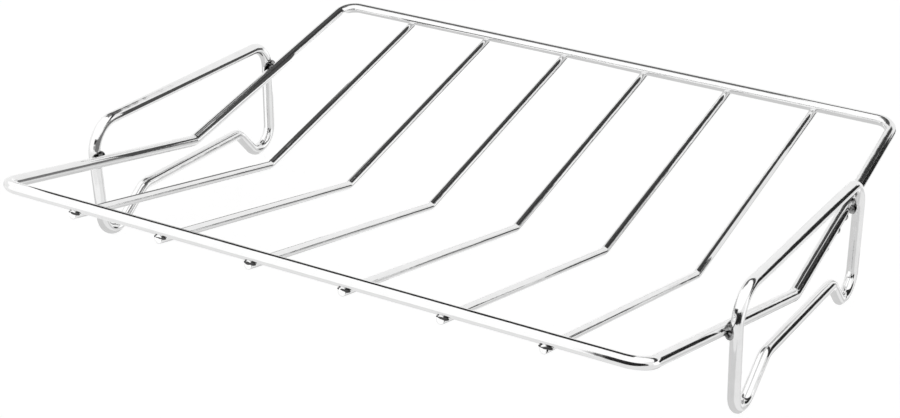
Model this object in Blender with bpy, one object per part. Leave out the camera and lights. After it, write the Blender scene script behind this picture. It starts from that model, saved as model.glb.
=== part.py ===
# Roasting rack of round chromed wire: a folded rim, six cross wires and two side loops
#
# X runs along the front rim, Y from front to back and Z up. The origin lies on the floor
# under the middle of the rack. Everything is in metres.

import math

import bpy
import bmesh
from mathutils import Vector

# Wire diameters and the gap between two pieces that touch
RIM_WIRE = 0.006
CROSS_WIRE = 0.0043
LOOP_WIRE = 0.006
SEAT_GAP = 0.0003

# The rim, measured along the centre line of its wire
RIM_WIDTH = 0.336
SIDE_BOW = 0.005
FRONT_RUN = 0.160
FRONT_RISE = 0.032
BACK_RUN = 0.147
BACK_RISE = 0.038
KNEE_HEIGHT = 0.0305
RIM_CORNER_RADIUS = 0.010
RIM_KNEE_RADIUS = 0.009

# The cross wires, which are welded under the front and back of the rim. CROSS_MARGIN is the
# distance from the outermost one to the corner of the rim, the weld sinks are how far the
# welds let them into it, and CROSS_KNEE_DROP is how far their knees hang below the rim's
CROSS_COUNT = 6
CROSS_MARGIN = 0.04475
CROSS_KNEE_RADIUS = 0.007
CROSS_OVERHANG = 0.0022
FRONT_WELD_SINK = 0.0011
BACK_WELD_SINK = 0.0023
CROSS_KNEE_DROP = 0.0028

# The side loops, each a handle above and two feet below
HANDLE_HEIGHT = 0.0645
HANDLE_LENGTH = 0.155
HANDLE_SETBACK = 0.003
HANDLE_CORNER_RADIUS = 0.012
FOOT_SPREAD = 0.151
FOOT_SETBACK = 0.0056
FOOT_RADIUS = 0.011
BAR_HEIGHT = 0.0186
BAR_BEND_RADIUS = 0.009
BAR_RAMP_ANGLE = math.radians(45)

# The weld beads where the loops' legs cross the sides of the rim
BEAD_REACH = 0.0018

# Fineness of the meshes: the steps in a quarter of a wire's section, the largest turn between
# two points of a bend, the weld beads' facets, and how sharp an edge stays unsmoothed
WIRE_BEVEL_STEPS = 4
ARC_STEP = math.radians(11)
BEAD_SEGMENTS = 24
BEAD_RINGS = 12
SHARP_ANGLE = math.radians(40)
CAP_WELD = 0.000001

# Grey level and roughness of each kind of piece
RIM_FINISH = (0.78, 0.10)
CROSS_FINISH = (0.74, 0.14)
LOOP_FINISH = (0.80, 0.10)
BEAD_FINISH = (0.70, 0.25)

rim_radius = RIM_WIRE / 2
cross_radius = CROSS_WIRE / 2
loop_radius = LOOP_WIRE / 2
knee_y = (FRONT_RUN - BACK_RUN) / 2
front_y = knee_y - FRONT_RUN
back_y = knee_y + BACK_RUN
front_z = KNEE_HEIGHT + FRONT_RISE
back_z = KNEE_HEIGHT + BACK_RISE
corner_x = RIM_WIDTH / 2
knee_x = corner_x + SIDE_BOW
cross_spacing = (RIM_WIDTH - 2 * CROSS_MARGIN) / (CROSS_COUNT - 1)


def clear_scene():
    for obj in list(bpy.data.objects):
        bpy.data.objects.remove(obj, do_unlink=True)


def new_collection(name):
    collection = bpy.data.collections.new(name)
    bpy.context.scene.collection.children.link(collection)
    return collection


def chrome(name, finish):
    grey, roughness = finish
    material = bpy.data.materials.new(name)
    material.use_nodes = True
    shader = material.node_tree.nodes["Principled BSDF"]
    shader.inputs["Base Color"].default_value = (grey, grey, grey, 1)
    shader.inputs["Metallic"].default_value = 1.0
    shader.inputs["Roughness"].default_value = roughness
    return material


def bend(before, corner, after, radius):
    """The points of an arc that rounds this corner, from the first tangent point to the second."""
    back = (before - corner).normalized()
    ahead = (after - corner).normalized()
    half_angle = back.angle(ahead) / 2
    middle = (back + ahead).normalized()
    centre = corner + middle * radius / math.sin(half_angle)
    start = corner + back * radius / math.tan(half_angle) - centre
    turn = math.pi - 2 * half_angle
    axis = start.cross(corner + ahead * radius / math.tan(half_angle) - centre).normalized()
    steps = max(2, math.ceil(turn / ARC_STEP))
    across = axis.cross(start)
    return [
        centre + start * math.cos(turn * i / steps) + across * math.sin(turn * i / steps)
        for i in range(steps + 1)
    ]


def rounded_path(corners, radii, closed):
    """Corner points of a bent wire's centre line, turned into straights and arcs."""
    count = len(corners)
    path = []
    for i, (corner, radius) in enumerate(zip(corners, radii)):
        if not closed and i in (0, count - 1):
            path.append(corner)
        else:
            path += bend(corners[i - 1], corner, corners[(i + 1) % count], radius)
    return path


def wire_object(name, path, diameter, closed, collection):
    curve = bpy.data.curves.new(name, "CURVE")
    curve.dimensions = "3D"
    curve.bevel_depth = diameter / 2
    curve.bevel_resolution = WIRE_BEVEL_STEPS
    curve.use_fill_caps = True
    spline = curve.splines.new("POLY")
    spline.points.add(len(path) - 1)
    for point, place in zip(spline.points, path):
        point.co = (*place, 1)
    spline.use_cyclic_u = closed
    spline.use_smooth = True
    obj = bpy.data.objects.new(name, curve)
    collection.objects.link(obj)
    return obj


def shade_round(mesh):
    mesh.shade_smooth()
    mesh.set_sharp_from_angle(angle=SHARP_ANGLE)


def as_mesh(obj, collection):
    """A curve object replaced by a closed mesh of the same shape and name."""
    name = obj.name
    bpy.context.view_layer.update()
    evaluated = obj.evaluated_get(bpy.context.evaluated_depsgraph_get())
    mesh = bpy.data.meshes.new_from_object(evaluated)
    place = obj.matrix_world.copy()
    bpy.data.objects.remove(obj, do_unlink=True)
    edit = bmesh.new()
    edit.from_mesh(mesh)
    bmesh.ops.remove_doubles(edit, verts=edit.verts, dist=CAP_WELD)
    edit.to_mesh(mesh)
    edit.free()
    shade_round(mesh)
    mesh.name = name
    solid = bpy.data.objects.new(name, mesh)
    solid.matrix_world = place
    collection.objects.link(solid)
    return solid


def cut(obj, cutter):
    modifier = obj.modifiers.new(cutter.name, "BOOLEAN")
    modifier.operation = "DIFFERENCE"
    modifier.solver = "EXACT"
    modifier.object = cutter


def rim_path():
    """Centre line of the rim: a flat rectangle folded at the knee, with its sides bowed outwards."""
    corners = [
        Vector((-corner_x, front_y, front_z)),
        Vector((corner_x, front_y, front_z)),
        Vector((knee_x, knee_y, KNEE_HEIGHT)),
        Vector((corner_x, back_y, back_z)),
        Vector((-corner_x, back_y, back_z)),
        Vector((-knee_x, knee_y, KNEE_HEIGHT)),
    ]
    corner, knee = RIM_CORNER_RADIUS, RIM_KNEE_RADIUS
    return rounded_path(corners, [corner, corner, knee, corner, corner, knee], True)


def make_seat(name, path, diameter, place, collection):
    """Cutter that follows a closed wire and leaves the seat gap round it."""
    curve = wire_object(name, path, diameter + 2 * SEAT_GAP, True, collection)
    curve.location = place
    seat = as_mesh(curve, collection)
    seat.hide_render = True
    seat.display_type = "WIRE"
    return seat


def wing(run, rise):
    """Unit vectors from the knee along a wing of the rim and square to it, downwards."""
    along = Vector((0, run, rise)).normalized()
    below = Vector((0, rise, -run)).normalized()
    return along, below if run > 0 else -below


def cross_wire_path():
    """Centre line of a cross wire, from its end under the front of the rim to the one under its back."""
    touching = rim_radius + cross_radius + SEAT_GAP
    front_along, front_below = wing(-FRONT_RUN, FRONT_RISE)
    back_along, back_below = wing(BACK_RUN, BACK_RISE)
    rim_front = Vector((0, front_y, front_z))
    rim_back = Vector((0, back_y, back_z))
    rim_knee = Vector((0, knee_y, KNEE_HEIGHT))
    middle = (front_below + back_below).normalized()
    knee = rim_knee + middle * CROSS_KNEE_DROP
    front = rim_front + front_below * (touching - FRONT_WELD_SINK) + front_along * CROSS_OVERHANG
    back = rim_back + back_below * (touching - BACK_WELD_SINK) + back_along * CROSS_OVERHANG
    return rounded_path([front, knee, back], [0, CROSS_KNEE_RADIUS, 0], False)


def make_cross_wires(rim_seat, collection):
    path = cross_wire_path()
    wires = []
    for i in range(CROSS_COUNT):
        curve = wire_object(f"cross_wire_{i + 1}", path, CROSS_WIRE, False, collection)
        curve.location.x = (i - (CROSS_COUNT - 1) / 2) * cross_spacing
        wire = as_mesh(curve, collection)
        cut(wire, rim_seat)
        wires.append(wire)
    return wires


def meet(point_a, along_a, point_b, along_b):
    """Where two lines in the YZ plane cross."""
    across = Vector((0, -along_b.z, along_b.y))
    return point_a + along_a * (point_b - point_a).dot(across) / along_a.dot(across)


def handle_end(side):
    """Sharp corner at the front (-1) or back (1) end of the handle."""
    return Vector((0, HANDLE_SETBACK + side * HANDLE_LENGTH / 2, HANDLE_HEIGHT))


def leg_direction(side):
    """Unit vector down the leg at the front (-1) or back (1) of a loop."""
    foot_y = HANDLE_SETBACK + FOOT_SETBACK + side * FOOT_SPREAD / 2
    return (Vector((0, foot_y, loop_radius)) - handle_end(side)).normalized()


def leg_and_foot(side):
    """Corners of one end of a loop: at the handle, at the sharp foot and where the bar begins."""
    top = handle_end(side)
    leg = leg_direction(side)
    inward = -side
    centre_z = loop_radius + FOOT_RADIUS
    beside_centre = top + leg * (centre_z - top.z) / leg.z
    centre = beside_centre - Vector((0, inward * FOOT_RADIUS / leg.z, 0))
    ramp = Vector((0, inward * math.cos(BAR_RAMP_ANGLE), math.sin(BAR_RAMP_ANGLE)))
    outward = Vector((0, inward * math.sin(BAR_RAMP_ANGLE), -math.cos(BAR_RAMP_ANGLE)))
    ramp_start = centre + outward * FOOT_RADIUS
    foot = meet(top, leg, ramp_start, ramp)
    bar_start = meet(ramp_start, ramp, Vector((0, 0, BAR_HEIGHT)), Vector((0, 1, 0)))
    return [top, foot, bar_start]


def loop_path():
    """Centre line of a side loop: handle, leg, foot, ramp, lower bar and back again."""
    radii = [HANDLE_CORNER_RADIUS, FOOT_RADIUS, BAR_BEND_RADIUS]
    corners = leg_and_foot(-1) + leg_and_foot(1)[::-1]
    return rounded_path(corners, radii + radii[::-1], True)


def leg_crossing(side):
    """Where a loop's leg passes the side wire of the rim: the point on that wire's centre line."""
    run, rise = (-FRONT_RUN, FRONT_RISE) if side < 0 else (BACK_RUN, BACK_RISE)
    rim_knee = Vector((0, knee_y, KNEE_HEIGHT))
    point = meet(handle_end(side), leg_direction(side), rim_knee, Vector((0, run, rise)))
    point.x = knee_x - SIDE_BOW * (point.y - knee_y) / run
    return point


def loop_offset():
    """How far out the loops stand, so that both legs of each rest against the rim."""
    furthest = max(leg_crossing(-1).x, leg_crossing(1).x)
    return furthest + rim_radius + loop_radius + SEAT_GAP


def make_side_loop(name, x, collection):
    loop = wire_object(name, loop_path(), LOOP_WIRE, True, collection)
    loop.location.x = x
    return loop


def make_weld_bead(name, hand, side, seats, collection):
    """Weld metal filling the corners where a leg crosses the rim, seated round both wires."""
    place = leg_crossing(side)
    place.x = hand * (place.x + loop_offset()) / 2
    bpy.ops.mesh.primitive_uv_sphere_add(
        segments=BEAD_SEGMENTS,
        ring_count=BEAD_RINGS,
        radius=1,
        location=place,
        scale=(rim_radius, rim_radius + BEAD_REACH, loop_radius + BEAD_REACH),
    )
    bead = bpy.context.object
    bead.name = name
    shade_round(bead.data)
    for home in list(bead.users_collection):
        home.objects.unlink(bead)
    collection.objects.link(bead)
    for seat in seats:
        cut(bead, seat)
    return bead


def main():
    clear_scene()
    rack = new_collection("roasting_rack")
    cutters = new_collection("cutters")
    rim_chrome = chrome("rim_chrome", RIM_FINISH)
    cross_chrome = chrome("cross_wire_chrome", CROSS_FINISH)
    loop_chrome = chrome("side_loop_chrome", LOOP_FINISH)
    bead_chrome = chrome("weld_bead_chrome", BEAD_FINISH)

    rim = wire_object("rim_wire", rim_path(), RIM_WIRE, True, rack)
    rim.data.materials.append(rim_chrome)
    rim_seat = make_seat("rim_seat", rim_path(), RIM_WIRE, (0, 0, 0), cutters)
    for wire in make_cross_wires(rim_seat, rack):
        wire.data.materials.append(cross_chrome)

    for side_name, hand in (("left", -1), ("right", 1)):
        x = hand * loop_offset()
        loop = make_side_loop(f"{side_name}_side_loop", x, rack)
        loop.data.materials.append(loop_chrome)
        loop_seat = make_seat(f"{side_name}_loop_seat", loop_path(), LOOP_WIRE, (x, 0, 0), cutters)
        for end_name, side in (("front", -1), ("back", 1)):
            bead_name = f"{side_name}_{end_name}_weld_bead"
            bead = make_weld_bead(bead_name, hand, side, (rim_seat, loop_seat), rack)
            bead.data.materials.append(bead_chrome)


main()
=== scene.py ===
# %% [markdown]
# A roasting rack of chromed wire. A heavy wire is bent into a rectangle and folded into a
# shallow V, six thinner wires are welded under it, and at each side a loop of wire makes a
# handle above and two feet below. The frame that is loaded here holds the rack at its real
# size. This lesson draws each wire again with a finer section, adds the weld metal, plates
# everything with chrome and sets up a white studio with dark flags for the chrome to show.

# %% The rack's frame
import math

import bpy
from mathutils import Matrix, Vector


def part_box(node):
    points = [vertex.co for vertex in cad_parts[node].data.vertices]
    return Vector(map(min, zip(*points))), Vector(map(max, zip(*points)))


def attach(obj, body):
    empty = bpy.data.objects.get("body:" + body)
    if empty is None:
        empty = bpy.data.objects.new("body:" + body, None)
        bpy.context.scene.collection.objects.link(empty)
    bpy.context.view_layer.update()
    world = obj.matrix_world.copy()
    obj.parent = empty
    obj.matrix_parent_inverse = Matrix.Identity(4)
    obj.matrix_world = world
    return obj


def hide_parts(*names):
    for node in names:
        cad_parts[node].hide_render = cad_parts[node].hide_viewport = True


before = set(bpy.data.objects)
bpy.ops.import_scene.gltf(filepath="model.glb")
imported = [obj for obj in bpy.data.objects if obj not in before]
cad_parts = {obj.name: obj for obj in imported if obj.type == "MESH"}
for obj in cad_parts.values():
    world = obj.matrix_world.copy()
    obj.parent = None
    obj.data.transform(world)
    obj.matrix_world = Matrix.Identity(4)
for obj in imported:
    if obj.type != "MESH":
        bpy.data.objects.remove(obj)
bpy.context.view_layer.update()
print("nodes in the frame:", sorted(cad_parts))

# %% [markdown]
# The sizes that a wire bender would be given. Wire thicknesses come from the frame's boxes,
# because a straight wire is as wide as its box. The bends are given by the sharp corners
# that the straight runs would meet in, and by the radius of each bend's centre line.

# %% Sizes of the wires
rim_low, rim_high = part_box("rim_wire")
loop_low, loop_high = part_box("right_side_loop")
thin_low, thin_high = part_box("cross_wire_1")
LOOP_WIRE = loop_high.x - loop_low.x
RIM_WIRE = LOOP_WIRE
CROSS_WIRE = thin_high.x - thin_low.x

RIM_WIDTH = 0.336
SIDE_BOW = 0.005
FRONT_RUN = 0.160
FRONT_RISE = 0.032
BACK_RUN = 0.147
BACK_RISE = 0.0379
KNEE_HEIGHT = 0.0305
RIM_CORNER_RADIUS = 0.010
RIM_KNEE_RADIUS = 0.009

CROSS_COUNT = 6
CROSS_KNEE_RADIUS = 0.007
CROSS_OVERHANG = 0.0022
FRONT_DROP = 0.00435
BACK_DROP = 0.00315
KNEE_DROP = 0.0028

HANDLE_HEIGHT = 0.0645
HANDLE_LENGTH = 0.1566
HANDLE_SETBACK = 0.0022
HANDLE_CORNER_RADIUS = 0.015
FOOT_SPREAD = 0.1525
FOOT_SETBACK = 0.00565
FOOT_RADIUS = 0.011
BAR_HEIGHT = 0.0186
BAR_BEND_RADIUS = 0.009
FRONT_RAMP_ANGLE = math.radians(37.5)
BACK_RAMP_ANGLE = math.radians(45)
LOOP_WELD_SINK = 0.0009

knee_y = (FRONT_RUN - BACK_RUN) / 2
front_y = knee_y - FRONT_RUN
back_y = knee_y + BACK_RUN
front_z = KNEE_HEIGHT + FRONT_RISE
back_z = KNEE_HEIGHT + BACK_RISE
print(f"rim and loops {RIM_WIRE * 1000:.2f} mm, cross wires {CROSS_WIRE * 1000:.2f} mm")

# %% [markdown]
# A camera with a longish lens stands in front of the rack, to its right and above it. Its
# place, turn and slight roll are those at which the real rack's straight wires and corners
# fall on one line of sight each.

# %% Camera
CAMERA_PLACE = Vector((0.4631, -0.8578, 0.4619))
CAMERA_AZIMUTH = math.radians(28.85)
CAMERA_DOWN = math.radians(23.68)
CAMERA_ROLL = math.radians(2.0)
LENS = 84.71
SENSOR = 36.0


def aim_camera():
    look = Vector((-math.sin(CAMERA_AZIMUTH) * math.cos(CAMERA_DOWN),
                   math.cos(CAMERA_AZIMUTH) * math.cos(CAMERA_DOWN),
                   -math.sin(CAMERA_DOWN)))
    level = look.cross(Vector((0, 0, 1))).normalized()
    upright = level.cross(look)
    right = level * math.cos(CAMERA_ROLL) + upright * math.sin(CAMERA_ROLL)
    up = upright * math.cos(CAMERA_ROLL) - level * math.sin(CAMERA_ROLL)
    lens = bpy.data.cameras.new("studio camera")
    lens.lens = LENS
    lens.sensor_width = SENSOR
    lens.sensor_fit = "HORIZONTAL"
    lens.clip_start = 0.01
    camera = bpy.data.objects.new("studio camera", lens)
    bpy.context.scene.collection.objects.link(camera)
    turn = Matrix((right, up, -look)).transposed().to_4x4()
    camera.matrix_world = Matrix.Translation(CAMERA_PLACE) @ turn
    bpy.context.scene.camera = camera
    return camera


camera = aim_camera()
print("camera stands at", tuple(round(value, 4) for value in camera.location))

# %% [markdown]
# Every wire is made as a bending machine makes it. A ring of points is the end of the wire.
# Extruding the ring feeds a straight run, which gets a ring every so often, so that the
# wire is not one long facet.

# %% The end of a wire and how it is fed
WIRE_SIDES = 32
FEED_STEP = 0.012


def rest_selection():
    bpy.ops.object.select_all(action="DESELECT")


def start_ring(name, place, along, thickness):
    """Leaves the end ring of a new wire selected in edit mode, square to the way it will be fed."""
    rest_selection()
    turn = Vector((0, 0, 1)).rotation_difference(along)
    bpy.ops.mesh.primitive_circle_add(vertices=WIRE_SIDES, radius=thickness / 2,
                                      location=place, rotation=turn.to_euler())
    wire = bpy.context.object
    wire.name = name
    wire.data.name = name
    bpy.ops.object.transform_apply(location=True, rotation=True, scale=True)
    bpy.ops.object.mode_set(mode="EDIT")
    bpy.ops.mesh.select_all(action="SELECT")
    return wire


def feed(run):
    steps = max(1, math.ceil(run.length / FEED_STEP))
    for _ in range(steps):
        bpy.ops.mesh.extrude_region_move(TRANSFORM_OT_translate={"value": run / steps})


print("a wire has", WIRE_SIDES, "sides and a ring every", FEED_STEP * 1000, "mm")

# %% [markdown]
# Spinning the end ring about the centre of a bend turns the wire there. That centre follows
# from the corner that the two straight runs would meet in and from the bend's radius. A
# closed wire ends where it began, and its last ring is merged with its first.

# %% Bends and closed wires
BEND_STEP = math.radians(6)
SMOOTH_ANGLE = math.radians(40)
MERGE = 0.00001


def bend_at(before, corner, after, radius):
    """Start and end of the bend, its centre, the axis that it turns about and how far it turns."""
    back = (before - corner).normalized()
    ahead = (after - corner).normalized()
    half = back.angle(ahead) / 2
    start = corner + back * radius / math.tan(half)
    end = corner + ahead * radius / math.tan(half)
    centre = corner + (back + ahead).normalized() * radius / math.sin(half)
    axis = (start - centre).cross(end - centre).normalized()
    return start, end, centre, axis, math.pi - 2 * half


def turn_wire(centre, axis, angle):
    bpy.ops.mesh.spin(steps=max(3, math.ceil(angle / BEND_STEP)), angle=-angle,
                      center=centre, axis=axis)


def finish_wire(wire):
    bpy.ops.mesh.select_all(action="SELECT")
    bpy.ops.mesh.remove_doubles(threshold=MERGE)
    bpy.ops.mesh.normals_make_consistent(inside=False)
    bpy.ops.object.mode_set(mode="OBJECT")
    bpy.ops.object.shade_smooth_by_angle(angle=SMOOTH_ANGLE)
    return wire


def closed_wire(name, corners, radii, thickness):
    """A wire bent at each corner in turn, begun in the middle of the run to the first corner."""
    start = (corners[-1] + corners[0]) / 2
    place = start
    wire = start_ring(name, start, (corners[0] - start).normalized(), thickness)
    count = len(corners)
    for i, radius in enumerate(radii):
        bend = bend_at(corners[i - 1], corners[i], corners[(i + 1) % count], radius)
        feed(bend[0] - place)
        turn_wire(*bend[2:])
        place = bend[1]
    feed(start - place)
    return finish_wire(wire)


print(f"a bend gets a ring at least every {math.degrees(BEND_STEP):.0f} degrees")

# %% [markdown]
# The rim is one heavy wire, bent square at four corners and slightly at the two knees,
# where its sides fold into the shallow V and bow outwards a little. A curve with a round
# bevel could follow the same corners, but its bends would depend on handles. The machine
# takes the corners and the bend radii as a bender's drawing gives them.

# %% Rim wire
rim_corners = [
    Vector((RIM_WIDTH / 2, front_y, front_z)),
    Vector((RIM_WIDTH / 2 + SIDE_BOW, knee_y, KNEE_HEIGHT)),
    Vector((RIM_WIDTH / 2, back_y, back_z)),
    Vector((-RIM_WIDTH / 2, back_y, back_z)),
    Vector((-RIM_WIDTH / 2 - SIDE_BOW, knee_y, KNEE_HEIGHT)),
    Vector((-RIM_WIDTH / 2, front_y, front_z)),
]
rim_radii = [RIM_CORNER_RADIUS, RIM_KNEE_RADIUS, RIM_CORNER_RADIUS,
             RIM_CORNER_RADIUS, RIM_KNEE_RADIUS, RIM_CORNER_RADIUS]
rim = closed_wire("rim_wire_drawn", rim_corners, rim_radii, RIM_WIRE)
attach(rim, "root")
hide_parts("rim_wire")
print("rim:", len(rim.data.vertices), "points, size", [round(v * 1000, 2) for v in rim.dimensions])
print("rim in the frame:", [round(v * 1000, 2) for v in rim_high - rim_low])

# %% [markdown]
# Each side loop is one closed wire in an upright plane. From the handle it runs down a
# leaning leg, round a foot, up a short ramp and along a lower bar to the other foot. The
# foot's sharp corner is where the leg's line and the ramp's line would meet.

# %% Side loops


def meet(point_a, along_a, point_b, along_b):
    """Where two lines of the YZ plane cross."""
    across = Vector((0, -along_b.z, along_b.y))
    return point_a + along_a * (point_b - point_a).dot(across) / along_a.dot(across)


def handle_end(side):
    return Vector((0, HANDLE_SETBACK + side * HANDLE_LENGTH / 2, HANDLE_HEIGHT))


def leg_direction(side):
    foot_y = HANDLE_SETBACK + FOOT_SETBACK + side * FOOT_SPREAD / 2
    return (Vector((0, foot_y, LOOP_WIRE / 2)) - handle_end(side)).normalized()


def leg_and_foot(side):
    """Sharp corners of one end of a loop: at the handle, at the foot and where the bar begins."""
    top = handle_end(side)
    leg = leg_direction(side)
    centre_z = LOOP_WIRE / 2 + FOOT_RADIUS
    centre = top + leg * (centre_z - top.z) / leg.z + Vector((0, side * FOOT_RADIUS / leg.z, 0))
    angle = FRONT_RAMP_ANGLE if side < 0 else BACK_RAMP_ANGLE
    ramp = Vector((0, -side * math.cos(angle), math.sin(angle)))
    outward = Vector((0, -side * math.sin(angle), -math.cos(angle)))
    ramp_start = centre + outward * FOOT_RADIUS
    foot = meet(top, leg, ramp_start, ramp)
    return [top, foot, meet(ramp_start, ramp, Vector((0, 0, BAR_HEIGHT)), Vector((0, 1, 0)))]


loop_corners = leg_and_foot(-1) + leg_and_foot(1)[::-1]
leg_radii = [HANDLE_CORNER_RADIUS, FOOT_RADIUS, BAR_BEND_RADIUS]
loops = []
for side_name, hand in (("left", -1), ("right", 1)):
    low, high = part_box(f"{side_name}_side_loop")
    offset = Vector(((low.x + high.x) / 2 - hand * LOOP_WELD_SINK, 0, 0))
    loop = closed_wire(f"{side_name}_loop_drawn", [corner + offset for corner in loop_corners],
                       leg_radii + leg_radii[::-1], LOOP_WIRE)
    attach(loop, "root")
    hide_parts(f"{side_name}_side_loop")
    loops.append(loop)
    print(side_name, "loop size", [round(v * 1000, 2) for v in loop.dimensions],
          "in the frame", [round(v * 1000, 2) for v in high - low])

# %% [markdown]
# The cross wires are cut from straight wire, bent once at the knee and welded under the
# front and back of the rim, where the current has sunk them a little into the thicker wire.
# How deep they lie is given square to each wing of the rim.

# %% Where a cross wire runs


def wing(run, rise):
    """Unit vectors from the knee along a wing of the rim and square to it, downwards."""
    along = Vector((0, run, rise)).normalized()
    below = Vector((0, rise, -run)).normalized()
    return along, below if run > 0 else -below


front_along, front_below = wing(-FRONT_RUN, FRONT_RISE)
back_along, back_below = wing(BACK_RUN, BACK_RISE)
rim_front = Vector((0, front_y, front_z))
rim_back = Vector((0, back_y, back_z))
knee_below = (front_below + back_below).normalized()
cross_front = rim_front + front_below * FRONT_DROP + front_along * CROSS_OVERHANG
cross_back = rim_back + back_below * BACK_DROP + back_along * CROSS_OVERHANG
cross_knee = Vector((0, knee_y, KNEE_HEIGHT)) + knee_below * KNEE_DROP
print("a cross wire runs through",
      [[round(v * 1000, 1) for v in point] for point in (cross_front, cross_knee, cross_back)])

# %% [markdown]
# One cross wire is drawn from its front end to its back end, its cut ends are closed and
# their edges rounded. The other five are copies with a mesh of their own, because all six
# are bent alike.

# %% Cross wires
END_ROUNDING = 0.0004


def close_end():
    """Closes the selected end ring with a face and rounds its edge."""
    bpy.ops.mesh.edge_face_add()
    bpy.ops.mesh.bevel(offset=END_ROUNDING, segments=3, affect="EDGES")


def draw_cross_wire(name, offset):
    front, knee, back = (point + offset for point in (cross_front, cross_knee, cross_back))
    wire = start_ring(name, front, (knee - front).normalized(), CROSS_WIRE)
    bend = bend_at(front, knee, back, CROSS_KNEE_RADIUS)
    feed(bend[0] - front)
    turn_wire(*bend[2:])
    feed(back - bend[1])
    close_end()
    bpy.ops.mesh.select_all(action="DESELECT")
    bpy.ops.object.mode_set(mode="OBJECT")
    for vertex in wire.data.vertices:
        vertex.select = (vertex.co - front).length < CROSS_WIRE
    bpy.ops.object.mode_set(mode="EDIT")
    close_end()
    return finish_wire(wire)


first_x = (thin_low.x + thin_high.x) / 2
cross_wires = [draw_cross_wire("cross_wire_1_drawn", Vector((first_x, 0, 0)))]
for i in range(1, CROSS_COUNT):
    low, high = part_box(f"cross_wire_{i + 1}")
    copy = cross_wires[0].copy()
    copy.data = cross_wires[0].data.copy()
    copy.name = f"cross_wire_{i + 1}_drawn"
    copy.data.transform(Matrix.Translation(((low.x + high.x) / 2 - first_x, 0, 0)))
    bpy.context.scene.collection.objects.link(copy)
    cross_wires.append(copy)
for i, wire in enumerate(cross_wires):
    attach(wire, "root")
    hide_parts(f"cross_wire_{i + 1}")
print("cross wire size", [round(v * 1000, 2) for v in cross_wires[0].dimensions],
      "in the frame", [round(v * 1000, 2) for v in thin_high - thin_low])

# %% [markdown]
# Weld metal is never smooth. A drop of it could be sculpted by hand, but here each starts as
# a sphere at its size, and a Displace modifier pushes its points in and out by a cloud
# texture. One function then makes every drop, and no two of them are alike, because the
# texture is read at the drop's own place.

# %% A drop of weld metal
LUMP_SIZE = 0.0022
LUMP_LAYERS = 2
LUMP_HEIGHT = 0.0007
LUMP_BALANCE = 0.62

lumps = bpy.data.textures.new("weld lumps", "CLOUDS")
lumps.noise_scale = LUMP_SIZE
lumps.noise_depth = LUMP_LAYERS


def weld_bead(name, place, half_size):
    """A lumpy ellipsoid of weld metal."""
    rest_selection()
    bpy.ops.mesh.primitive_uv_sphere_add(segments=32, ring_count=18, radius=1,
                                         location=place, scale=half_size)
    bead = bpy.context.object
    bead.name = name
    bead.data.name = name
    bpy.ops.object.transform_apply(location=True, rotation=True, scale=True)
    displace = bead.modifiers.new("lumps", "DISPLACE")
    displace.texture = lumps
    displace.texture_coords = "GLOBAL"
    displace.strength = LUMP_HEIGHT
    displace.mid_level = LUMP_BALANCE
    bpy.ops.object.modifier_apply(modifier=displace.name)
    bpy.ops.object.shade_smooth()
    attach(bead, "root")
    return bead


print(f"lumps of weld metal: {LUMP_SIZE * 1000:.1f} mm wide, {LUMP_HEIGHT * 1000:.1f} mm high")

# %% [markdown]
# Where a leg of a loop passes the side of the rim, the two wires only touch, and the bead
# fills the corners round that point. Its middle lies halfway between the two wires, so it
# is placed by working out where their centre lines pass each other, not by eye.

# %% Beads at the legs
BEAD_REACH = 0.0018


def leg_crossing(side):
    """Where a loop's leg passes the rim's side wire, on the centre line of that wire."""
    run, rise = (-FRONT_RUN, FRONT_RISE) if side < 0 else (BACK_RUN, BACK_RISE)
    knee = Vector((0, knee_y, KNEE_HEIGHT))
    point = meet(handle_end(side), leg_direction(side), knee, Vector((0, run, rise)))
    point.x = RIM_WIDTH / 2 + SIDE_BOW - SIDE_BOW * (point.y - knee_y) / run
    return point


beads = []
for side_name, hand in (("left", -1), ("right", 1)):
    for end_name, side in (("front", -1), ("back", 1)):
        place = leg_crossing(side)
        low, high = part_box(f"{side_name}_side_loop")
        place.x = (hand * place.x + (low.x + high.x) / 2) / 2
        half = (RIM_WIRE / 2, RIM_WIRE / 2 + BEAD_REACH, LOOP_WIRE / 2 + BEAD_REACH)
        bead = weld_bead(f"{side_name}_{end_name}_bead", place, half)
        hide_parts(f"{side_name}_{end_name}_weld_bead")
        beads.append(bead)
print("beads at the legs:", [bead.name for bead in beads])

# %% [markdown]
# At each end of a cross wire a flat lip of metal has been squeezed out under the rim, and a
# few drops of spatter sit on the right side of the rim, between the loop's back leg and
# the knee. Both are the same lumpy drop as the beads, only smaller: a lip is drawn out
# along the rim, and each drop of spatter sits at its own share of the way to the knee.

# %% Lips and spatter
LIP_HALF = Vector((0.0034, 0.0011, 0.0010))
LIP_BELOW = RIM_WIRE / 2 + 0.0004
LIP_AHEAD = 0.0014
LIP_ASIDE = 0.0004
SPATTER = ((0.12, 0.0021), (0.27, 0.0021), (0.47, 0.0017))
SPATTER_OFFSET = Vector((0.0014, -0.0008, -0.0010))
SPATTER_STRETCH = 1.3

lips = []
for i, wire in enumerate(cross_wires):
    low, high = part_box(f"cross_wire_{i + 1}")
    for end_name, centre, below, along in (("front", rim_front, front_below, front_along),
                                           ("back", rim_back, back_below, back_along)):
        place = centre + below * LIP_BELOW + along * LIP_AHEAD
        place.x = (low.x + high.x) / 2 + LIP_ASIDE
        lips.append(weld_bead(f"weld_lip_{i + 1}_{end_name}", place, LIP_HALF))
right_knee = Vector((RIM_WIDTH / 2 + SIDE_BOW, knee_y, KNEE_HEIGHT))
for i, (share, size) in enumerate(SPATTER):
    place = leg_crossing(1).lerp(right_knee, share) + SPATTER_OFFSET
    beads.append(weld_bead(f"spatter_{i + 1}", place, (size, size * SPATTER_STRETCH, size)))
print(len(lips), "lips and", len(SPATTER), "drops of spatter")

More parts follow.
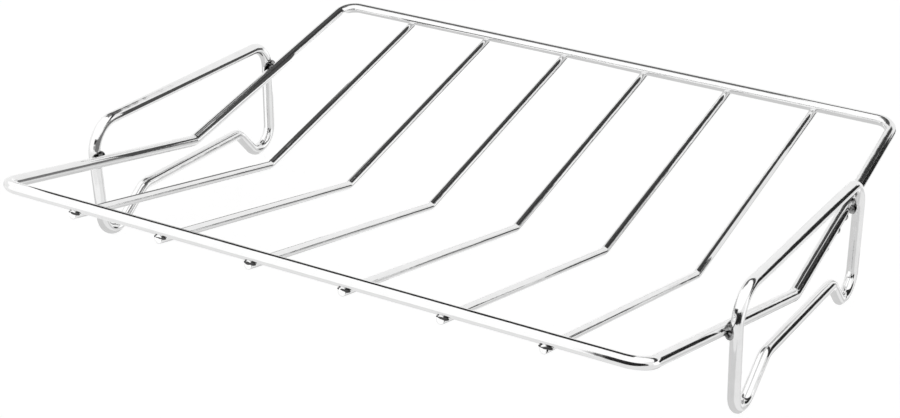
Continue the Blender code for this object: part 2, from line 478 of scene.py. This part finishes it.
# %% [markdown]
# Chrome is a mirror, so nearly all of its look is what it reflects. What belongs to the
# surface itself is small: faint ripples that drawing and bending leave in the wire, patches
# where handling has made the plating a little duller, and stains where it took unevenly.
# On the weld beads the same stain noise is made strong, and there it paints the black and
# bright reflections of the lumpy weld metal. An image texture could hold these marks, but it
# would need a layout for each wire. One node group makes them from the piece's own
# coordinates instead, and each finish gives it its own values.

# %% The plating's surface as a node group
HANDLING_SCALE = 70
RIPPLE_SCALE = 55
RIPPLE_DEPTH = 0.001
NOISE_LOW, NOISE_HIGH = 0.3, 0.7


def give(links, socket, value):
    """Sets a socket to a number, or links it to another node's output."""
    if isinstance(value, bpy.types.NodeSocket):
        links.new(value, socket)
    else:
        socket.default_value = value


def plating_group():
    group = bpy.data.node_groups.new("plated wire surface", "ShaderNodeTree")
    sides = group.interface
    for name, default in (("Grey", 0.8), ("Gloss", 0.05), ("Haze", 0.05), ("Ripple", 0.03),
                          ("Stain And Reflection", 0.02), ("Stain And Reflection Scale", 160.0)):
        socket = sides.new_socket(name, in_out="INPUT", socket_type="NodeSocketFloat")
        socket.default_value = default
    sides.new_socket("Color", in_out="OUTPUT", socket_type="NodeSocketColor")
    sides.new_socket("Roughness", in_out="OUTPUT", socket_type="NodeSocketFloat")
    sides.new_socket("Normal", in_out="OUTPUT", socket_type="NodeSocketVector")
    nodes, links = group.nodes, group.links
    given = nodes.new("NodeGroupInput")
    made = nodes.new("NodeGroupOutput")
    place = nodes.new("ShaderNodeTexCoord").outputs["Object"]

    def noise(scale, detail):
        node = nodes.new("ShaderNodeTexNoise")
        give(links, node.inputs["Scale"], scale)
        node.inputs["Detail"].default_value = detail
        links.new(place, node.inputs["Vector"])
        return node.outputs["Fac"]

    def spread(factor, high, name):
        """Stretches the middle of a noise, so that it runs from nothing to the value given."""
        node = nodes.new("ShaderNodeMapRange")
        node.label = name
        node.inputs["From Min"].default_value = NOISE_LOW
        node.inputs["From Max"].default_value = NOISE_HIGH
        node.inputs["To Min"].default_value = 0.0
        links.new(high, node.inputs["To Max"])
        links.new(factor, node.inputs["Value"])
        return node.outputs["Result"]

    def sum_of(first, second, clamp=False):
        node = nodes.new("ShaderNodeMath")
        node.operation = "ADD"
        node.use_clamp = clamp
        links.new(first, node.inputs[0])
        links.new(second, node.inputs[1])
        return node.outputs["Value"]

    handled = spread(noise(HANDLING_SCALE, detail=3), given.outputs["Haze"], "haze")
    links.new(sum_of(given.outputs["Gloss"], handled), made.inputs["Roughness"])

    # Uneven plating on the wires; on the weld beads the same noise, made strong, paints black and
    # bright reflections.
    stains_and_reflections = spread(noise(given.outputs["Stain And Reflection Scale"], detail=4),
                    given.outputs["Stain And Reflection"], "uneven plating and painted reflections")
    shade = sum_of(given.outputs["Grey"], stains_and_reflections, clamp=True)
    grey = nodes.new("ShaderNodeCombineColor")
    for channel in ("Red", "Green", "Blue"):
        links.new(shade, grey.inputs[channel])
    links.new(grey.outputs["Color"], made.inputs["Color"])

    bump = nodes.new("ShaderNodeBump")
    bump.inputs["Distance"].default_value = RIPPLE_DEPTH
    links.new(given.outputs["Ripple"], bump.inputs["Strength"])
    links.new(noise(RIPPLE_SCALE, detail=2), bump.inputs["Height"])
    links.new(bump.outputs["Normal"], made.inputs["Normal"])
    return group


surface = plating_group()
print("node group:", surface.name, "with", len(surface.nodes), "nodes")

# %% [markdown]
# Each finish is a metal shader with the group in front of it. The thin cross wires are
# plated a little smoother than the heavy wire. The beads start below black, and their strong
# stain noise paints black and bright reflections of the lumpy weld metal. The lips are dark
# scale that the plating hardly covered, and they are made nearly black as painted shade of
# the gap under the rim.

# %% Finishes


def chrome(name, grey, gloss, haze, ripple, stain_and_reflection=0.04, stain_and_reflection_scale=160.0):
    material = bpy.data.materials.new(name)
    material.use_nodes = True
    nodes, links = material.node_tree.nodes, material.node_tree.links
    shader = nodes["Principled BSDF"]
    shader.inputs["Metallic"].default_value = 1.0
    plating = nodes.new("ShaderNodeGroup")
    plating.node_tree = surface
    for socket, value in (("Grey", grey), ("Gloss", gloss), ("Haze", haze), ("Ripple", ripple),
                          ("Stain And Reflection", stain_and_reflection), ("Stain And Reflection Scale", stain_and_reflection_scale)):
        plating.inputs[socket].default_value = value
    links.new(plating.outputs["Color"], shader.inputs["Base Color"])
    links.new(plating.outputs["Roughness"], shader.inputs["Roughness"])
    links.new(plating.outputs["Normal"], shader.inputs["Normal"])
    return material


rim_chrome = chrome("rim_chrome_plate", grey=0.82, gloss=0.09, haze=0.04, ripple=0.25)
cross_chrome = chrome("cross_wire_chrome_plate", grey=0.83, gloss=0.07, haze=0.04, ripple=0.25)
loop_chrome = chrome("side_loop_chrome_plate", grey=0.84, gloss=0.09, haze=0.04, ripple=0.25)
# The beads' strong stain noise paints the black and bright reflections of the lumpy weld metal.
bead_chrome = chrome("weld_bead_chrome_plate", grey=-0.25, gloss=0.12, haze=0.15, ripple=0.8,
                     stain_and_reflection=0.9, stain_and_reflection_scale=330.0)
# Nearly black: partly dark scale, partly painted shade of the gap under the rim.
lip_scale_and_shade = chrome("weld_lip_scale_and_painted_shade", grey=0.05, gloss=0.30, haze=0.10, ripple=0.8)
for material, members in ((rim_chrome, [rim]), (cross_chrome, cross_wires),
                          (loop_chrome, loops), (bead_chrome, beads), (lip_scale_and_shade, lips)):
    for piece in members:
        piece.data.materials.clear()
        piece.data.materials.append(material)
    print(material.name, "on", len(members), "pieces")

# %% [markdown]
# The rack stands in a white studio on a plain pale floor that keeps a soft shadow. Around
# it stand dark flags, white sheets and pale cards, which the camera does not see, but the
# chrome does: the flags draw the dark lines along the wires, and the sheets and cards keep
# the rest bright. A straight round wire mirrors only what lies on a cone about its own
# direction, so one far flag serves all wires that run the same way, and a flag close to the
# rack serves one wire. Lamps could light the rack too, but in chrome they would show only
# as small spots.

# %% Floor


def plain(name, level, grey=0.0):
    """Emission for what the camera and the chrome see, and a matt grey for light and shadow."""
    material = bpy.data.materials.new(name)
    material.use_nodes = True
    shader = material.node_tree.nodes["Principled BSDF"]
    shader.inputs["Base Color"].default_value = (grey, grey, grey, 1)
    shader.inputs["Roughness"].default_value = 1.0
    shader.inputs["Specular IOR Level"].default_value = 0.0
    shader.inputs["Emission Color"].default_value = (1, 1, 1, 1)
    shader.inputs["Emission Strength"].default_value = level
    return material


def flat_card(name, corners, material, seen_by_camera=False):
    """A sheet between four corners, made from a plane."""
    rest_selection()
    bpy.ops.mesh.primitive_plane_add(size=1)
    card = bpy.context.object
    card.name = name
    card.data.name = name
    plane_order = (corners[0], corners[1], corners[3], corners[2])
    for vertex, corner in zip(card.data.vertices, plane_order):
        vertex.co = corner
    card.data.materials.append(material)
    card.visible_camera = seen_by_camera
    card.visible_diffuse = seen_by_camera
    card.visible_shadow = seen_by_camera
    return card


def level_card(name, left_right, front_back, z, material, seen_by_camera=False):
    """A rectangle that lies level."""
    (left, right), (front, back) = left_right, front_back
    corners = [(left, front, z), (right, front, z), (right, back, z), (left, back, z)]
    return flat_card(name, corners, material, seen_by_camera)


FLOOR_HALF = 15.0
floor = level_card("studio_floor", (-FLOOR_HALF, FLOOR_HALF), (-FLOOR_HALF, FLOOR_HALF), 0,
                   plain("floor_white", 0.65, grey=0.8), seen_by_camera=True)
floor.visible_glossy = False
print("floor", tuple(round(side) for side in floor.dimensions[:2]), "m")

# %% [markdown]
# The flags run from nearly black to dark grey and the cards on the ground from light grey to
# white. The sheets are a little brighter than the white of the picture, because chrome
# keeps some of the light. A card that stands far away is placed by its bearings, which are
# counted from straight back to the right.

# %% Levels and bearings
flag_black = plain("flag_black", 0.02)
flag_dark = plain("flag_dark", 0.045)
flag_soft = plain("flag_soft", 0.08)
flag_pale = plain("flag_pale", 0.20)
flag_grey = plain("flag_grey", 0.085)
sheet_white = plain("sheet_white", 1.2)
ground_grey = plain("ground_grey", 0.70)
ground_pale = plain("ground_pale", 0.90)
ground_white = plain("ground_white", 1.02)


def on_bearing(azimuth, distance, z):
    """A place seen from the middle of the rack at so many degrees to the right of straight back."""
    turn = math.radians(azimuth)
    return math.sin(turn) * distance, math.cos(turn) * distance, z


def standing_card(name, azimuths, distance, bottoms, top, material):
    """An upright sheet between two bearings, whose bottom edge may slope."""
    (first, last), (first_z, last_z) = azimuths, bottoms
    corners = [on_bearing(first, distance, first_z), on_bearing(last, distance, last_z),
               on_bearing(last, distance, top), on_bearing(first, distance, top)]
    return flat_card(name, corners, material)


print("bearing 30 at 1 m:", [round(value, 2) for value in on_bearing(30, 1, 0)])

# %% [markdown]
# The chrome does not see the floor, but cards in its place: deep below a grey one, with a
# paler one to its right and a white one behind, and at floor level a pale strip in front
# and a white field behind. The lower sides of the wires then run in soft steps from grey
# to white, where one even floor would make them flat.

# %% Ground cards
DEEP = -1.5

level_card("ground_card", (-6, 6), (-6, 6), DEEP, ground_grey)
level_card("right_ground_card", (0.8, 5), (-1.5, 2), DEEP + 0.1, ground_pale)
level_card("front_strip", (-0.3, 0.3), (-0.26, -0.12), 0, ground_pale)
far_z = DEEP + 0.05
flat_card("far_ground_card",
          [(-1.0, 1.5, far_z), (0.6, 1.5, far_z), (1.6, 5.5, far_z), (-1.0, 5.5, far_z)],
          ground_white)
flat_card("back_ground", [(-1.2, 0.17, 0), (-0.03, 0.17, 0), (0.35, 2.0, 0), (-1.2, 2.0, 0)],
          sheet_white)
print("ground cards from", DEEP, "m up to the floor")

# %% [markdown]
# One white sheet hangs overhead, and a white panel stands on each side. Two dark flags high
# up behind the rack start just past the sheet's back edge and give the wires of the back
# wing their broad dark bands. A low flag behind, to the right, draws the thin lines of the
# front wing's cross wires, and two flags in front put dark lines on the rack where it is
# seen from behind.

# %% Overhead sheet, panels and far flags
PANEL_DISTANCE = 1.5
FAR = 2.3
FLAG_EDGE = (0.251, 0.491)

flat_card("overhead_sheet",
          [(-1.2, -1.2, 0.55), (0.9, -1.2, 0.55), (0.9, 0.25, 0.49), (-1.2, 0.25, 0.49)],
          sheet_white)
standing_card("front_left_panel", (-175, -115), PANEL_DISTANCE, (-0.7, -0.7), 1.6, sheet_white)
flat_card("high_left_flag",
          [(-0.75, *FLAG_EDGE), (0, *FLAG_EDGE), (0, 0.74, 0.824), (-0.62, 0.74, 0.694)],
          flag_grey)
flat_card("high_right_flag",
          [(0, *FLAG_EDGE), (1.6, *FLAG_EDGE), (1.6, 1.0, 0.55), (0, 0.9, 0.933)],
          flag_dark)
standing_card("right_back_flag", (20, 37.5), FAR, (-0.32, -0.64), 0.12, flag_dark)
standing_card("front_right_flag", (105, 138), FAR, (-0.5, -0.5), 0.25, flag_dark)
standing_card("front_flag", (150, 178), FAR, (-0.5, -0.5), 0.25, flag_dark)
standing_card("right_panel", (41, 85), FAR, (-0.7, -0.7), 0.7, sheet_white)
print("far flags stand", FAR, "m away")

# %% [markdown]
# A wire that needs a line of its own gets a small flag close by. The black one to the right
# serves the right loop and the back of the rim's right side. A pale card under it keeps
# these lines narrow, and another hides it from the last cross wire. A black flag just above
# the front of the rim and a pale one just under the overhead sheet draw the fine lines of
# the rim's front and back, and those on the left serve the left loop and the left side of
# the rim. A low black one stands in front, to the right, and a white card lies on the floor
# in front, to the left.

# %% Flags and cards close to the rack
NEAR_LEFT, NEAR_RIGHT = (0.260, 0.264), (0.43, 0.07)
NEAR_BOTTOM = 0.022

flat_card("right_near_flag",
          [(*NEAR_LEFT, NEAR_BOTTOM), (*NEAR_RIGHT, NEAR_BOTTOM),
           (*NEAR_RIGHT, 0.12), (*NEAR_LEFT, 0.18)], flag_black)
flat_card("right_low_card",
          [(*NEAR_LEFT, -0.06), (*NEAR_RIGHT, -0.06),
           (*NEAR_RIGHT, NEAR_BOTTOM), (*NEAR_LEFT, NEAR_BOTTOM)], ground_pale)
flat_card("last_wire_card",
          [(0.135, 0.03, 0.0246), (0.135, 0.130, 0.0504),
           (0.135, 0.130, 0.0784), (0.135, 0.03, 0.0526)], ground_pale)
flat_card("front_rim_flag",
          [(-0.16, -0.143, 0.069), (0.16, -0.143, 0.069),
           (0.16, -0.143, 0.094), (-0.16, -0.143, 0.094)], flag_black)
level_card("back_rim_flag", (-0.46, -0.02), (0.085, 0.25), 0.488, flag_pale)
flat_card("left_inner_flag",
          [(-0.150, -0.03, 0.034), (-0.150, 0.11, 0.048),
           (-0.150, 0.11, 0.070), (-0.150, -0.03, 0.078)], flag_soft)
flat_card("left_front_flag",
          [(-0.135, -0.12, 0.042), (-0.135, 0.01, 0.032),
           (-0.135, 0.01, 0.058), (-0.135, -0.12, 0.070)], flag_pale)
level_card("left_floor_card", (-0.5, -0.13), (-0.3, -0.095), 0.0, ground_white)
flat_card("low_front_flag",
          [(0.10, -0.27, 0.0), (0.42, -0.24, 0.0), (0.42, -0.24, 0.12), (0.10, -0.27, 0.12)],
          flag_black)

# %% [markdown]
# The world is the studio's soft light. It lights surfaces at a plain level, and Light Path
# makes it white for the camera and for the chrome, so that the backdrop is white behind the
# rack and in it without more light on anything.

# %% World
LIGHT_LEVEL = 0.45
RAY_LEVELS = (("Is Transmission Ray", 0.98), ("Is Glossy Ray", 0.98), ("Is Camera Ray", 1.0))


def studio_world():
    world = bpy.data.worlds.new("studio white")
    world.use_nodes = True
    nodes, links = world.node_tree.nodes, world.node_tree.links
    background = nodes["Background"]
    background.inputs["Color"].default_value = (1, 1, 1, 1)
    rays = nodes.new("ShaderNodeLightPath")
    strength = LIGHT_LEVEL
    for ray, level in RAY_LEVELS:
        mix = nodes.new("ShaderNodeMix")
        mix.label = ray
        mix.inputs["B"].default_value = level
        give(links, mix.inputs["A"], strength)
        links.new(rays.outputs[ray], mix.inputs["Factor"])
        strength = mix.outputs["Result"]
    links.new(strength, background.inputs["Strength"])
    bpy.context.scene.world = world
    return world


bpy.context.scene.view_settings.view_transform = "Standard"
print("world:", studio_world().name)
